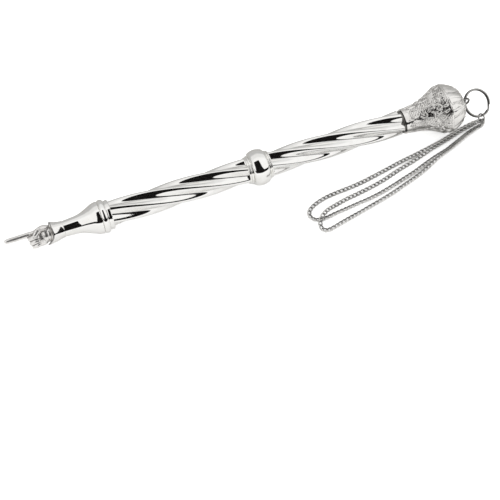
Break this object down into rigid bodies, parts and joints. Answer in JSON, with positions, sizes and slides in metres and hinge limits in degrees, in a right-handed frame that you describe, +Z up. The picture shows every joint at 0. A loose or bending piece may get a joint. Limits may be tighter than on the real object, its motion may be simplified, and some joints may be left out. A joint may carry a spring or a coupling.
{
  "type": "hand-tipped reading pointer",
  "caption": "Slender polished silver pointer with a closed-hand tip, twisted shafts, a central knop and an engraved pommel carrying a split ring and a doubled chain.",
  "frame": {"origin": "on the table under the middle of the pointer and its rings, the pointer lying at rest on its collar and pommel", "axes": "+X from the fingertip towards the pommel, +Z up, the chain lying on the -Y side"},
  "size_m": [0.275, 0.0586, 0.0271],
  "materials": {
    "silver_hand": "polished cast silver plate, darker in the recesses",
    "silver_turned": "mirror-polished silver plate",
    "silver_shaft": "mirror-polished silver plate",
    "silver_engraved": "polished chased silver plate with a dark ground",
    "dark_silver": "unpolished, dulled in a groove",
    "silver_wire": "bright plated wire",
    "silver_chain": "bright plated wire links",
    "steel": "plain machined",
    "brass": "plain machined"
  },
  "bodies": {
    "pointer": {"index_finger": "silver_hand", "fist": "silver_hand", "wrist_cuff": "silver_hand", "hand_stud": "steel", "trumpet_neck": "silver_turned", "front_collar": "silver_turned", "thin_ring": "silver_turned", "lower_shaft": "silver_shaft", "lower_front_plug": "brass", "lower_rear_plug": "brass", "knop_lower_flange": "silver_turned", "knop_barrel": "silver_turned", "knop_upper_flange": "silver_turned", "upper_shaft": "silver_shaft", "upper_front_plug": "brass", "upper_rear_plug": "brass", "joint_ring": "dark_silver", "pommel_bell": "silver_engraved", "pommel_dome": "silver_engraved", "tie_rod": "steel", "tie_rod_washer": "brass", "tie_rod_nut": "brass", "chain_lug": "silver_wire", "chain_out_loop": "silver_chain", "chain_in_loop": "silver_chain"},
    "split_ring": {"split_ring": "silver_wire"},
    "jump_ring": {"jump_ring": "silver_wire"}
  },
  "joints": [
    {"name": "ring_swing", "type": "hinge", "parent": "pointer", "child": "split_ring", "pos_m": [0.12264, 0, 0.01387], "axis": [0, 1, 0], "range_deg": [-74, 5]},
    {"name": "jump_ring_turn", "type": "hinge", "parent": "split_ring", "child": "jump_ring", "pos_m": [0.12974, -0.00853, 0.00703], "axis": [0.0126, -0.8387, -0.5445], "range_deg": [-20, 50]}
  ]
}
